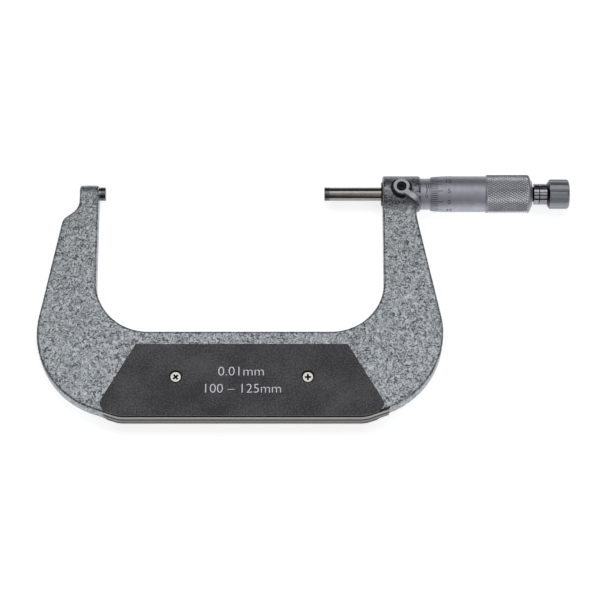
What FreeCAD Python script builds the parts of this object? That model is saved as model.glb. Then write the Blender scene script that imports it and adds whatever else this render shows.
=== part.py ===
import FreeCAD, Part
import os
from math import asin, cos, pi, sin, sqrt, tan

# Outside micrometer, 100 to 125 mm, lying flat on its back plate's side.
# X runs along the spindle from the anvil, Y up the frame's arms, Z out of the frame's front.
# The origin is the centre of the anvil's measuring face. All lengths are in millimetres.

V = FreeCAD.Vector
axisX = V(1, 0, 0)
axisZ = V(0, 0, 1)

# measuring range
thimbleReading = 2.068
shortestGap = 100.0
spindleTipX = shortestGap + thimbleReading
screwPitch = 0.5

# frame casting
frameHalf = 4.5
frameEdgeRound = 1.2
anvilArmOuterX = -12.0
anvilArmInnerX = -3.0
anvilHeadAxisY = -0.5
anvilNeckY = -8.6
anvilNeckRound = 7.8
anvilShoulder = (-19.47, -14.23, 5.5)
throatX = 129.2
throatFloorY = -69.8
throatRound = 24.3
thimbleArmX = 144.9
thimbleArmNeckY = -12.5
thimbleArmNeckRound = 10.0
frameFootY = -109.4
footCornerLeft = (-37.78, 39.2)
footCornerRight = (165.4, 39.6)
bossEndX = 146.75
bossRadius = 8.4
bossBlend = 3.0
bossEndRound = 1.0
webEndRound = 0.8

# measuring faces
spindleRadius = 3.175
tipLength = 2.4
tipBevel = 0.15
anvilRootX = -10.4

# spindle bush and inner sleeve in the boss
runningGap = 0.03
bushFlangeX = 128.6
bushFlangeRadius = 5.65
bushEndX = 135.4
bushRadius = 4.6
passageRadius = 3.9
innerSleeveX = 140.5
innerSleeveRootRadius = 5.2
sleeveSeatX = 143.8
innerSleeveRadius = 6.1
nutStartX = 177.3
innerSleeveEndX = 183.0
innerThreadRadius = 5.6
threadReliefX = 148.9
threadStartX = 150.0
nutThreadX = 158.0
nutSlitX = 172.0
nutSlitHalf = 0.2
spindleThreadRadius = 3.5
spindleThreadGap = 0.05

# graduated sleeve and adjusting nut
sleeveRadius = 7.3
sleeveEndX = 177.0
sleeveSkirtRadius = 7.25
sleeveGroove = 0.2
seatRadius = 7.3
spannerHoleX = 144.75
spannerHoleRadius = 0.55
spannerScoopX = 145.4
spannerScoopRadius = 1.4
spannerScoopY = -3.2
nutRadius = 6.9
nutLength = 4.9
nutSlotHalf = 0.7

# thimble
thimbleEdgeX = 151.6
thimbleEdgeRadius = 7.9
thimbleRadius = 8.4
bevelEndX = 157.4
thimbleBoreRadius = 7.5
ringLineX = 177.3
ringLineDepth = 0.15
knurlStartX = 177.85
knurlEndX = 197.5
knurlRadius = 9.05
thimbleWallX = 192.6
thimbleEndX = 198.9
thimbleRearRadius = 6.2
seatX = 191.0
seatEndX = 197.2
spindleSeatRadius = 3.0

# ratchet stop
neckRadius = 4.97
neckStartX = 199.75
neckGroove = 1.5
neckSplitX = 202.3
spigotRadius = 2.0
spigotEndX = 213.05
stubRadius = 1.5
stubX = 189.0
toothCount = 24
toothDepth = 0.4
wheelRadius = 3.8
wheelFaceX = 204.4
discFaceX = 204.5
discRearX = 206.0
discHop = 0.5
keyWidth = 1.0
keyReach = 4.4
knobBore = 4.1
knobWallX = 211.2
knobWallEndX = 213.0
knobRadius = 6.88
knobShoulderX = 205.9
knobGripX = 207.15
knobEndX = 216.3
knobEndRound = 1.4
knobRecessRadius = 4.6
fluteCount = 8
fluteRadius = 6.0
fluteDepth = 0.45
ratchetScrewRadius = 0.8
ratchetScrewHead = 3.6
ratchetScrewHeadHeight = 1.5
springWire = 0.24
springMean = 3.0
springTurns = 5
springSteps = 16

# spindle lock
lockX = 137.85
spotFaceZ = 7.2
spotFaceRadius = 4.9
hubRadius = 3.9
hubTopZ = 9.6
hubBore = 2.4
hubFloorZ = 8.2
leverAngle = -37.0
leverNearSide = 0.5
leverFarSide = -2.7
leverBevel = 0.8
lockHeadHeight = 0.9
socketRadius = 1.1
plungerRadius = 1.8
plungerTopZ = 5.8

# cover plates and their screws
plateFaceZ = 6.4
plateTopY = -76.7
plateHipY = -104.8
plateFootY = -110.8
plateLeftX = 0.0
plateRightX = 128.9
plateLeftInset = 16.0
plateRightInset = 16.5
plateFootInset = 8.5
plateFootRound = 12.0
plateHeel = (2.2, 3.9)
plateGrooveZ = 5.3
plateGrooveDepth = 0.6
rimReach = 2.2
rimEndY = -107.2
rimProud = 0.25
rimFootRound = 14.0
seamHalf = 0.45
screwPlaces = ((34.44, -92.5), (94.27, -92.5))
screwShankRadius = 1.25
screwHeadRadius = 2.4
screwWellRadius = 3.05
screwHeadZ = 5.75
screwRimHeight = 0.2
crossFloorZ = 4.7
crossLength = 2.9
crossWidth = 0.9
crossTurns = (40.0, 0.0)


# a closed wire through corners (u, v, corner radius), with every corner rounded by a tangent arc
def roundedWire(corners, place):
    count = len(corners)
    starts = []
    for i, (u, v, radius) in enumerate(corners):
        here = V(u, v, 0)
        back = V(*corners[i - 1][:2], 0) - here
        ahead = V(*corners[(i + 1) % count][:2], 0) - here
        back.normalize()
        ahead.normalize()
        halfTurn = (pi - back.getAngle(ahead)) / 2
        reach = radius * tan(halfTurn)
        middle = back + ahead
        if radius > 0:
            middle.normalize()
        depth = radius * (1 / cos(halfTurn) - 1)
        starts.append((here + back * reach, here + middle * depth, here + ahead * reach, radius))
    edges = []
    for i, (first, middle, last, radius) in enumerate(starts):
        if radius > 0:
            edges.append(Part.Arc(place(first), place(middle), place(last)).toShape())
        following = starts[(i + 1) % count][0]
        if (following - last).Length > 1e-6:
            edges.append(Part.LineSegment(place(last), place(following)).toShape())
    return Part.Wire(edges)


# a plate lying flat between two heights, from its outline in X and Y
def slab(corners, lowZ, highZ):
    wire = roundedWire(corners, lambda p: V(p.x, p.y, lowZ))
    return Part.Face(wire).extrude(V(0, 0, highZ - lowZ))


# a body turned about the line along X at height y, from (x, radius, corner radius) points
def turned(corners, y=0.0):
    wire = roundedWire(corners, lambda p: V(p.x, p.y + y, 0))
    return Part.Face(wire).revolve(V(0, y, 0), axisX, 360)


def sharp(points):
    return [(x, radius, 0) for x, radius in points]


def barX(startX, endX, radius, y=0.0):
    return Part.makeCylinder(radius, endX - startX, V(startX, y, 0), axisX)


def barZ(x, y, lowZ, highZ, radius):
    return Part.makeCylinder(radius, highZ - lowZ, V(x, y, lowZ), axisZ)


def ringX(startX, endX, outer, inner):
    return barX(startX, endX, outer).cut(barX(startX - 1, endX + 1, inner))


def box(lowX, highX, lowY, highY, lowZ, highZ):
    return Part.makeBox(highX - lowX, highY - lowY, highZ - lowZ, V(lowX, lowY, lowZ))


# copies of one shape at equal turns about the X axis
def aroundX(shape, count):
    copies = []
    for i in range(count):
        copy = shape.copy()
        copy.rotate(V(0, 0, 0), axisX, 360 * i / count)
        copies.append(copy)
    return copies


def tidy(shape):
    cleaned = shape.removeSplitter()
    return cleaned.Solids[0] if len(cleaned.Solids) == 1 else cleaned


# the C-shaped casting before anything is drilled: arms, floor, rounded anvil head and boss
def frameCasting():
    outline = [
        (anvilArmInnerX, anvilHeadAxisY + 4, 0),
        (anvilArmInnerX, throatFloorY, throatRound),
        (throatX, throatFloorY, throatRound),
        (throatX, 0, 0),
        (thimbleArmX, 0, 0),
        (thimbleArmX, thimbleArmNeckY, thimbleArmNeckRound),
        (footCornerRight[0], frameFootY, footCornerRight[1]),
        (footCornerLeft[0], frameFootY, footCornerLeft[1]),
        anvilShoulder,
        (anvilArmOuterX, anvilNeckY, anvilNeckRound),
        (anvilArmOuterX, anvilHeadAxisY + 4, 0),
    ]
    casting = slab(outline, -frameHalf, frameHalf)
    flatEdges = [e for e in casting.Edges if e.BoundBox.ZLength < 1e-6]
    rounded = [e for e in flatEdges if e.BoundBox.YMax < 0 or e.BoundBox.YLength > 3]
    casting = casting.makeFillet(frameEdgeRound, rounded)
    casting = casting.cut(box(anvilArmOuterX - 1, anvilArmInnerX + 1, anvilHeadAxisY, 10, -9, 9))
    casting = casting.cut(box(throatX - 1, thimbleArmX + 1, -4, 10, -9, 9))
    head = turned([
        (anvilArmOuterX, 0, 0),
        (anvilArmOuterX, frameHalf, frameEdgeRound),
        (anvilArmInnerX, frameHalf, frameEdgeRound),
        (anvilArmInnerX, 0, 0),
    ], anvilHeadAxisY)
    boss = turned([
        (throatX, 0, 0),
        (throatX, bossRadius, bossEndRound),
        (bossEndX, bossRadius, bossEndRound),
        (bossEndX, 0, 0),
    ])
    return casting.fuse([head, boss, bossWeb()])


# the concave blends that carry the round boss down into the flat arm
def bossWeb():
    blendZ = frameHalf + bossBlend
    blendY = -sqrt((bossRadius + bossBlend) ** 2 - blendZ ** 2)
    share = bossRadius / (bossRadius + bossBlend)
    slant = asin(blendZ / (bossRadius + bossBlend))
    halfway = (pi / 2 + slant) / 2
    footY = blendY - 4
    edges = []
    for side in (1, -1):
        onBoss = V(throatX, blendY * share, side * blendZ * share)
        onArm = V(throatX, blendY, side * frameHalf)
        middle = V(throatX, blendY + bossBlend * cos(halfway), side * (blendZ - bossBlend * sin(halfway)))
        edges.append(Part.Arc(onBoss, middle, onArm).toShape())
        edges.append(Part.LineSegment(onArm, V(throatX, footY, side * frameHalf)).toShape())
        edges.append(Part.LineSegment(onBoss, V(throatX, onBoss.y, 0)).toShape())
        edges.append(Part.LineSegment(V(throatX, footY, side * frameHalf), V(throatX, footY, 0)).toShape())
    web = Part.Face(Part.Wire(Part.__sortEdges__(edges))).extrude(V(thimbleArmX - throatX, 0, 0))
    arcs = [e for e in web.Edges if e.Curve.TypeId == "Part::GeomCircle"]
    return web.makeFillet(webEndRound, arcs)


def makeFrame(casting):
    drilled = [
        barX(anvilRootX, 0, spindleRadius),
        barX(throatX - 1, bushEndX, bushRadius),
        barX(bushEndX - 1, innerSleeveX + 1, passageRadius),
        barX(innerSleeveX, bossEndX + 1, innerSleeveRootRadius),
        barX(sleeveSeatX, bossEndX + 1, seatRadius),
        barZ(lockX, 0, 0, spotFaceZ, plungerRadius + runningGap),
        barZ(lockX, 0, spotFaceZ, hubTopZ, spotFaceRadius),
        barZ(spannerScoopX, spannerScoopY, frameHalf, hubTopZ, spannerScoopRadius),
    ]
    for x, y in screwPlaces:
        drilled.append(barZ(x, y, -frameHalf - 1, frameHalf + 1, screwShankRadius))
    return tidy(casting.cut(drilled))


def makeAnvil():
    return barX(anvilRootX, -tipLength, spindleRadius)


def measuringTip(backX, faceX):
    inward = tipBevel if faceX < backX else -tipBevel
    return turned(sharp([
        (backX, 0),
        (backX, spindleRadius),
        (faceX + inward, spindleRadius),
        (faceX, spindleRadius - tipBevel),
        (faceX, 0),
    ]))


def makeSpindleBush():
    return turned(sharp([
        (bushFlangeX, spindleRadius + runningGap),
        (bushFlangeX, bushFlangeRadius - 0.2),
        (bushFlangeX + 0.2, bushFlangeRadius),
        (throatX, bushFlangeRadius),
        (throatX, bushRadius),
        (bushEndX, bushRadius),
        (bushEndX, spindleRadius + runningGap),
    ]))


# the fixed sleeve that carries the spindle's nut thread and, split at its rear, the adjusting nut
def makeInnerSleeve():
    wideBore = spindleThreadRadius + 0.25
    nutBore = spindleThreadRadius + spindleThreadGap
    body = turned(sharp([
        (innerSleeveX, wideBore),
        (innerSleeveX, innerSleeveRootRadius),
        (sleeveSeatX, innerSleeveRootRadius),
        (sleeveSeatX, innerSleeveRadius),
        (nutStartX, innerSleeveRadius),
        (nutStartX, innerThreadRadius),
        (innerSleeveEndX - 0.4, innerThreadRadius),
        (innerSleeveEndX, innerThreadRadius - 0.4),
        (innerSleeveEndX, nutBore),
        (nutThreadX, nutBore),
        (nutThreadX - 1, wideBore),
    ]))
    slit = box(nutSlitX, innerSleeveEndX + 1, -nutSlitHalf, nutSlitHalf, 0, innerSleeveRadius + 1)
    return tidy(body.cut(aroundX(slit, 3)))


# the graduated sleeve: a skirt in the boss, a fine groove and the plain barrel
def makeSleeve():
    bore = innerSleeveRadius + 0.05
    body = turned(sharp([
        (sleeveSeatX + 0.05, bore),
        (sleeveSeatX + 0.05, sleeveSkirtRadius),
        (bossEndX - sleeveGroove, sleeveSkirtRadius),
        (bossEndX - sleeveGroove, sleeveRadius - sleeveGroove),
        (bossEndX + sleeveGroove, sleeveRadius - sleeveGroove),
        (bossEndX + sleeveGroove, sleeveRadius),
        (sleeveEndX, sleeveRadius),
        (sleeveEndX, bore),
    ]))
    hole = Part.makeCylinder(spannerHoleRadius, 3, V(spannerHoleX, 0, sleeveSkirtRadius - 0.9), axisZ)
    hole.rotate(V(0, 0, 0), axisX, -asin(spannerScoopY / sleeveSkirtRadius) * 180 / pi)
    return tidy(body.cut(hole))


def makeAdjustingNut():
    endX = nutStartX + 0.3 + nutLength
    body = ringX(nutStartX + 0.3, endX, nutRadius, innerThreadRadius + 0.05)
    slot = box(endX - 1, endX + 1, -nutSlotHalf, nutSlotHalf, innerThreadRadius - 1, nutRadius + 1)
    return tidy(body.cut(aroundX(slot, 4)))


def makeSpindle():
    return turned(sharp([
        (spindleTipX + tipLength, 0),
        (spindleTipX + tipLength, spindleRadius),
        (threadReliefX, spindleRadius),
        (threadReliefX, spindleRadius - 0.2),
        (threadStartX, spindleRadius - 0.2),
        (threadStartX + 0.3, spindleThreadRadius),
        (seatX, spindleThreadRadius),
        (seatX, spindleSeatRadius),
        (seatEndX, spindleSeatRadius),
        (seatEndX, stubRadius),
        (stubX - 0.5, stubRadius),
        (stubX - 1.2, 0),
    ]))


def makeThimble():
    return turned([
        (thimbleEdgeX, thimbleBoreRadius, 0),
        (thimbleEdgeX, thimbleEdgeRadius, 0),
        (bevelEndX, thimbleRadius, 0),
        (ringLineX, thimbleRadius, 0),
        (ringLineX, thimbleRadius - ringLineDepth, 0),
        (ringLineX + 0.3, thimbleRadius - ringLineDepth, 0),
        (knurlStartX, knurlRadius, 0),
        (knurlEndX, knurlRadius, 0.3),
        (thimbleEndX, thimbleRearRadius, 0.5),
        (thimbleEndX, neckRadius, 0),
        (seatEndX, neckRadius, 0),
        (seatEndX, spindleSeatRadius, 0),
        (thimbleWallX, spindleSeatRadius, 0),
        (thimbleWallX, thimbleBoreRadius, 0),
    ])


# the fixed half of the ratchet stop: a stub screwed into the spindle, a flange, a neck and a spigot
def makeRatchetBody():
    body = turned(sharp([
        (stubX, 0),
        (stubX, stubRadius),
        (seatEndX, stubRadius),
        (seatEndX, neckRadius),
        (thimbleEndX, neckRadius),
        (thimbleEndX, neckRadius - neckGroove),
        (neckStartX, neckRadius - neckGroove),
        (neckStartX, neckRadius - 0.15),
        (neckStartX + 0.15, neckRadius),
        (neckSplitX, neckRadius),
        (neckSplitX, spigotRadius),
        (spigotEndX, spigotRadius),
        (spigotEndX, 0),
    ]))
    return body.cut(barX(discRearX + 1, spigotEndX + 1, ratchetScrewRadius))


# one saw tooth as a straight radial prism, its section given across the radius and along X
def toothPrism(section, innerRadius, outerRadius):
    points = [V(x, across, innerRadius) for across, x in section]
    wire = Part.makePolygon(points + points[:1])
    return Part.Face(wire).extrude(V(0, 0, outerRadius - innerRadius))


def makeRatchetWheel():
    blank = ringX(neckSplitX, wheelFaceX, wheelRadius, spigotRadius)
    rootX = wheelFaceX - toothDepth
    section = ((-0.22, wheelFaceX + 0.02), (-0.22, rootX), (0.25, wheelFaceX + 0.02))
    notches = aroundX(toothPrism(section, 2.5, wheelRadius + 1), toothCount)
    return tidy(blank.cut(notches))


def makeClickDisc():
    disc = ringX(discFaceX, discRearX, wheelRadius, spigotRadius + 0.08)
    tipX = discFaceX - toothDepth + 0.04
    section = ((-0.17, discFaceX + 0.1), (-0.17, tipX), (0.2, discFaceX + 0.1))
    teeth = aroundX(toothPrism(section, 2.75, wheelRadius - 0.15), toothCount)
    keys = aroundX(box(discFaceX + 0.3, discRearX, -keyWidth / 2, keyWidth / 2, 3.2, keyReach), 2)
    return tidy(disc.fuse(teeth + keys))


# an even coil, drawn as short straight lengths of eight-sided wire
def makeRatchetSpring():
    startX = discRearX + springWire + 0.05
    length = knobWallX - springWire - 0.05 - startX
    rings = []
    for i in range(springSteps * springTurns + 1):
        turn = 2 * pi * i / springSteps
        outward = V(0, cos(turn), sin(turn))
        centre = V(startX + length * i / (springSteps * springTurns), 0, 0) + outward * springMean
        corners = []
        for k in range(8):
            lean = 2 * pi * k / 8
            corners.append(centre + outward * (springWire * cos(lean)) + V(springWire * sin(lean), 0, 0))
        rings.append(Part.makePolygon(corners + corners[:1]))
    return Part.makeLoft(rings, True, True)


def makeRatchetKnob():
    body = turned([
        (neckSplitX + 0.2, knobBore, 0),
        (neckSplitX + 0.2, neckRadius, 0),
        (knobShoulderX, neckRadius, 0),
        (knobGripX, knobRadius, 0.15),
        (knobEndX, knobRadius, knobEndRound),
        (knobEndX, knobRecessRadius, 0.2),
        (knobWallEndX, knobRecessRadius, 0),
        (knobWallEndX, spigotRadius + 0.05, 0),
        (knobWallX, spigotRadius + 0.05, 0),
        (knobWallX, knobBore, 0),
    ])
    flute = barX(knobShoulderX - 1, knobEndX + 1, fluteRadius, knobRadius + fluteRadius - fluteDepth)
    halfKeyway = keyWidth / 2 + 0.1
    keyways = aroundX(box(neckSplitX + 0.8, knobGripX + 0.85, -halfKeyway, halfKeyway, knobBore - 0.6,
                          keyReach + 0.1), 2)
    return tidy(body.cut(aroundX(flute, fluteCount) + keyways))


def makeRatchetScrew():
    topX = spigotEndX + ratchetScrewHeadHeight
    head = turned([
        (spigotEndX, 0, 0),
        (spigotEndX, ratchetScrewHead, 0),
        (topX, ratchetScrewHead, 0.4),
        (topX, 0, 0),
    ])
    shank = barX(discRearX + 1.5, spigotEndX, ratchetScrewRadius)
    slot = box(topX - 0.7, topX + 1, -ratchetScrewHead - 1, ratchetScrewHead + 1, -0.4, 0.4)
    return tidy(head.fuse(shank).cut(slot))


# the lever: a ring-shaped hub and a bevelled arm that curves down over the boss
def makeLockLever():
    hub = barZ(lockX, 0, spotFaceZ + 0.1, hubTopZ, hubRadius)
    hub = hub.makeChamfer(0.45, [e for e in hub.Edges if e.BoundBox.ZMin > hubTopZ - 0.1])
    # the arm's side view, as (distance from the hub's axis, height)
    under = [(2.6, 8.4), (5.2, 8.4), (8.0, 7.85), (9.6, 6.6)]
    over = [(10.7, 8.4), (8.4, 9.3), (5.0, 9.6), (2.6, 9.6)]
    low = [V(distance, leverFarSide, z) for distance, z in under]
    top = [V(distance, leverFarSide, z) for distance, z in over]
    bend = Part.Wire([
        Part.LineSegment(low[0], low[1]).toShape(),
        Part.Arc(low[1], low[2], low[3]).toShape(),
        Part.LineSegment(low[3], top[0]).toShape(),
        Part.Arc(top[0], top[1], top[2]).toShape(),
        Part.LineSegment(top[2], top[3]).toShape(),
        Part.LineSegment(top[3], low[0]).toShape(),
    ])
    arm = Part.Face(bend).extrude(V(0, leverNearSide - leverFarSide, 0))
    upper = [e for e in arm.Edges if e.BoundBox.YMax < leverFarSide + 0.1 and e.BoundBox.ZMax > top[3].z - 0.1
             and e.BoundBox.XLength > 1]
    arm = arm.makeChamfer(leverBevel, upper)
    arm.translate(V(lockX, 0, 0))
    arm.rotate(V(lockX, 0, 0), axisZ, leverAngle)
    bores = [barZ(lockX, 0, hubFloorZ, hubTopZ + 1, hubBore), barZ(lockX, 0, 6, 9, screwShankRadius)]
    return tidy(hub.fuse(arm).cut(bores))


# the screw that clamps the lever and carries its turn down onto the plunger
def makeLockScrew():
    topZ = hubFloorZ + lockHeadHeight
    head = barZ(lockX, 0, hubFloorZ, topZ, hubBore - 0.2)
    head = head.makeChamfer(0.3, [e for e in head.Edges if e.BoundBox.ZMin > topZ - 0.1])
    shank = barZ(lockX, 0, plungerTopZ + 0.1, hubFloorZ, screwShankRadius)
    corners = []
    for i in range(7):
        corners.append(V(lockX + socketRadius * cos(i * pi / 3), socketRadius * sin(i * pi / 3), hubFloorZ + 0.1))
    socket = Part.Face(Part.makePolygon(corners)).extrude(V(0, 0, lockHeadHeight))
    return tidy(head.fuse(shank).cut(socket))


def makeLockPlunger():
    body = barZ(lockX, 0, 2, plungerTopZ, plungerRadius)
    return tidy(body.cut(barX(lockX - 4, lockX + 4, spindleRadius + 0.1)))


# the outline of a cover's face, grown outward at its sides and foot
def faceOutline(grow):
    right = [
        (plateRightX - plateRightInset, plateTopY, 1.0),
        (plateRightX + grow, plateHipY, 3.0),
        (plateRightX + grow - plateHeel[0], plateHipY - plateHeel[1], 4.0),
        (plateRightX - plateFootInset, plateFootY - grow, plateFootRound),
    ]
    left = [
        (plateLeftX + plateFootInset, plateFootY - grow, plateFootRound),
        (plateLeftX - grow + plateHeel[0], plateHipY - plateHeel[1], 4.0),
        (plateLeftX - grow, plateHipY, 3.0),
        (plateLeftX + plateLeftInset, plateTopY, 1.0),
    ]
    return right + left


# a cover for the front: a flat face over a fine groove, and a rim that wraps under the frame's foot
def frontPlate(casting):
    rim = [
        (plateRightX - plateRightInset, plateTopY, 0),
        (plateRightX + rimReach, plateHipY, 0),
        (plateRightX + rimReach, rimEndY, 0.6),
        (plateRightX - plateFootInset, plateFootY - rimProud, rimFootRound),
        (plateLeftX + plateFootInset, plateFootY - rimProud, rimFootRound),
        (plateLeftX - rimReach, rimEndY, 0.6),
        (plateLeftX - rimReach, plateHipY, 0),
        (plateLeftX + plateLeftInset, plateTopY, 0),
    ]
    cover = slab(faceOutline(0), plateGrooveZ, plateFaceZ)
    cover = cover.makeFillet(0.4, [e for e in cover.Edges if e.BoundBox.ZMin > plateFaceZ - 0.01])
    neck = slab(faceOutline(-plateGrooveDepth), frameHalf - 0.5, plateGrooveZ)
    solid = cover.fuse([neck, slab(rim, seamHalf, frameHalf - 0.2)]).cut(casting)
    for x, y in screwPlaces:
        solid = solid.cut(screwWell(x, y))
    largest = max(solid.Solids, key=lambda piece: piece.Volume)
    return tidy(largest)


# the cone under a screw's head, from the frame's face up to the head's rim
def headCone(x, y):
    height = screwHeadZ - screwRimHeight - frameHalf
    return Part.makeCone(screwShankRadius, screwHeadRadius, height, V(x, y, frameHalf), axisZ)


# the stepped hole for one countersunk screw
def screwWell(x, y):
    well = barZ(x, y, screwHeadZ - screwRimHeight, plateFaceZ + 1, screwWellRadius)
    return headCone(x, y).fuse([well, barZ(x, y, frameHalf - 1, screwHeadZ, screwShankRadius)])


def plateScrew(x, y, turn):
    cap = barZ(x, y, screwHeadZ - screwRimHeight, screwHeadZ, screwHeadRadius)
    cap = cap.makeChamfer(0.12, [e for e in cap.Edges if e.BoundBox.ZMin > screwHeadZ - 0.01])
    shank = barZ(x, y, 0.6, frameHalf, screwShankRadius)
    halfLong = crossLength / 2
    halfWide = crossWidth / 2
    along = box(x - halfLong, x + halfLong, y - halfWide, y + halfWide, crossFloorZ, plateFaceZ)
    across = box(x - halfWide, x + halfWide, y - halfLong, y + halfLong, crossFloorZ, plateFaceZ)
    cross = along.fuse(across)
    cross.rotate(V(x, y, 0), axisZ, turn)
    return tidy(headCone(x, y).fuse([cap, shank]).cut(cross))


def plateScrews():
    return Part.Compound([plateScrew(x, y, turn) for (x, y), turn in zip(screwPlaces, crossTurns)])


def mirroredToBack(shape):
    return shape.mirror(V(0, 0, 0), axisZ)


def main():
    os.makedirs("parts", exist_ok=True)
    casting = frameCasting()
    cover = frontPlate(casting)
    screws = plateScrews()
    nodes = {
        "frame": makeFrame(casting),
        "anvil": makeAnvil(),
        "anvil_tip": measuringTip(-tipLength, 0.0),
        "spindle_bush": makeSpindleBush(),
        "inner_sleeve": makeInnerSleeve(),
        "sleeve": makeSleeve(),
        "adjusting_nut": makeAdjustingNut(),
        "spindle": makeSpindle(),
        "spindle_tip": measuringTip(spindleTipX + tipLength, spindleTipX),
        "thimble": makeThimble(),
        "ratchet_body": makeRatchetBody(),
        "ratchet_wheel": makeRatchetWheel(),
        "click_disc": makeClickDisc(),
        "ratchet_spring": makeRatchetSpring(),
        "ratchet_knob": makeRatchetKnob(),
        "ratchet_screw": makeRatchetScrew(),
        "lock_lever": makeLockLever(),
        "lock_screw": makeLockScrew(),
        "lock_plunger": makeLockPlunger(),
        "front_plate": cover,
        "back_plate": mirroredToBack(cover),
        "front_plate_screws": screws,
        "back_plate_screws": mirroredToBack(screws),
    }
    for name, shape in nodes.items():
        if not shape.isValid() or shape.Volume <= 0:
            print("check", name, shape.isValid(), shape.Volume)
        shape.exportStep(f"parts/{name}.step")
        print(f"{name}: {len(shape.Solids)} solid, {shape.Volume:.1f} mm3")


main()
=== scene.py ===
import math

import bmesh
import bpy
from mathutils import Matrix, Vector


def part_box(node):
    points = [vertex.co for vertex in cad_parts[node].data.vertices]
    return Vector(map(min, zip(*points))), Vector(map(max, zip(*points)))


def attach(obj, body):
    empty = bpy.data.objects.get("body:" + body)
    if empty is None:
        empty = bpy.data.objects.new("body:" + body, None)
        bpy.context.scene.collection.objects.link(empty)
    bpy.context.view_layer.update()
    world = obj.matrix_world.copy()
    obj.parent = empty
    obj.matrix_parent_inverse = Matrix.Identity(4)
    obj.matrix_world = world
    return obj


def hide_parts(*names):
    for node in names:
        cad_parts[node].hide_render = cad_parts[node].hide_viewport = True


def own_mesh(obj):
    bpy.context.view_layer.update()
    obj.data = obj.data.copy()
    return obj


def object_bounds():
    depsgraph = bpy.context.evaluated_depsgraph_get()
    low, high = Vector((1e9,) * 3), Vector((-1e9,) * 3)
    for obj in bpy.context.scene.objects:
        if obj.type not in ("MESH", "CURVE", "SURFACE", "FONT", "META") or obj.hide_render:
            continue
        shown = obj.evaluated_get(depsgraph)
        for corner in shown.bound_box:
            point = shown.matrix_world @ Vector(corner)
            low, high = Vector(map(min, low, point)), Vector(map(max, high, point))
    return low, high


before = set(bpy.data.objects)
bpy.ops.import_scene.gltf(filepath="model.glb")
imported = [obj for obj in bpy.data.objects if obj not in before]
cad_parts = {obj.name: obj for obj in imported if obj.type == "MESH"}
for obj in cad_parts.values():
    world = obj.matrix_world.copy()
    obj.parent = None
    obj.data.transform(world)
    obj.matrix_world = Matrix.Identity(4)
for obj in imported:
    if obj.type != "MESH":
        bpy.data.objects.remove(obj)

# Outside micrometer, lying on its back: finishes, knurl, scales, printing and ratchet spring
# over the CAD frame.
# Everything is in metres, with sizes given in millimetres times mm.

mm = 0.001
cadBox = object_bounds()


def boxOf(node):
    low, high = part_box(node)
    return low / mm, high / mm  # corners in millimetres


# Colour and node helpers.

def shade(red, green, blue):
    def linear(value):
        value /= 255
        return value / 12.92 if value <= 0.04045 else ((value + 0.055) / 1.055) ** 2.4
    return (linear(red), linear(green), linear(blue), 1.0)


def addNode(tree, kind, wires=None, **settings):
    node = tree.nodes.new(kind)
    for setting, value in settings.items():
        setattr(node, setting, value)
    for key, value in (wires or {}).items():
        if isinstance(value, bpy.types.NodeSocket):
            tree.links.new(value, node.inputs[key])
        else:
            node.inputs[key].default_value = value
    return node


def calc(tree, operation, first, second=0.0):
    return addNode(tree, "ShaderNodeMath", {0: first, 1: second}, operation=operation).outputs[0]


# a ramp between colours, given as (position, colour) pairs
def addRamp(tree, factor, stops):
    ramp = addNode(tree, "ShaderNodeValToRGB", {"Fac": factor})
    elements = ramp.color_ramp.elements
    for position, colour in stops[2:]:  # a new ramp has two elements already
        elements.new(position)
    for element, (position, colour) in zip(elements, stops):
        element.position = position
        element.color = colour
    return ramp.outputs["Color"]


# a number that rises from 0 to 1 between two places in millimetres
def rise(tree, value, low, high):
    return addNode(tree, "ShaderNodeMapRange", {
        "Value": value,
        "From Min": low * mm,
        "From Max": high * mm,
    }).outputs["Result"]


def placeAxes(tree):
    place = addNode(tree, "ShaderNodeTexCoord").outputs["Object"]
    return addNode(tree, "ShaderNodeSeparateXYZ", {"Vector": place}).outputs


def mixColour(tree, factor, first, second):
    mix = addNode(tree, "ShaderNodeMix", {"Factor": factor, 6: first, 7: second}, data_type="RGBA")
    return mix.outputs[2]


# how far a point lies from an axis, from its two coordinates across that axis
def distanceFrom(tree, first, second):
    squares = calc(tree, "ADD", calc(tree, "POWER", first, 2.0), calc(tree, "POWER", second, 2.0))
    return calc(tree, "SQRT", squares)


# noise on the object's own coordinates; the stretch slows the pattern along an axis
def addNoise(tree, grain, stretch=(1, 1, 1), detail=2.0, distortion=0.0):
    place = addNode(tree, "ShaderNodeTexCoord").outputs["Object"]
    mapped = addNode(tree, "ShaderNodeMapping", {"Vector": place, "Scale": stretch})
    return addNode(tree, "ShaderNodeTexNoise", {
        "Vector": mapped.outputs["Vector"],
        "Scale": 1 / (grain * mm),
        "Detail": detail,
        "Distortion": distortion,
    }).outputs["Fac"]


def addBump(tree, height, depth, strength=1.0, normal=None):
    wires = {"Height": height, "Distance": depth * mm, "Strength": strength}
    if normal is not None:
        wires["Normal"] = normal
    return addNode(tree, "ShaderNodeBump", wires).outputs["Normal"]


def newFinish(name):
    material = bpy.data.materials.new(name)
    material.use_nodes = True
    tree = material.node_tree
    return material, tree, tree.nodes["Principled BSDF"]


# Finishes.

hammerLook = {
    "darkPit": shade(74, 78, 82),
    "body": shade(142, 147, 151),
    "highSpot": shade(198, 203, 207),
    "grain": 1.5,  # mm across one mottle
    "fineGrain": 0.6,
    "roughness": 0.34,
    "dimple": 0.15,  # mm deep
    "metal": 0.6,
    "bossShade": 0.66,  # how much of the colour is left on the boss
    # the colour of the painted shade on the boss
    "bossTint": shade(24, 26, 28),
    "bossFoot": -9.6,  # where the boss meets the arm
    "bossSide": 100.0,  # the boss is to the right of this
    # painted black shade in the spot face under the lever
    "spotFace": shade(16, 17, 18),
    "spotFaceReach": 5.0,
}
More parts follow.
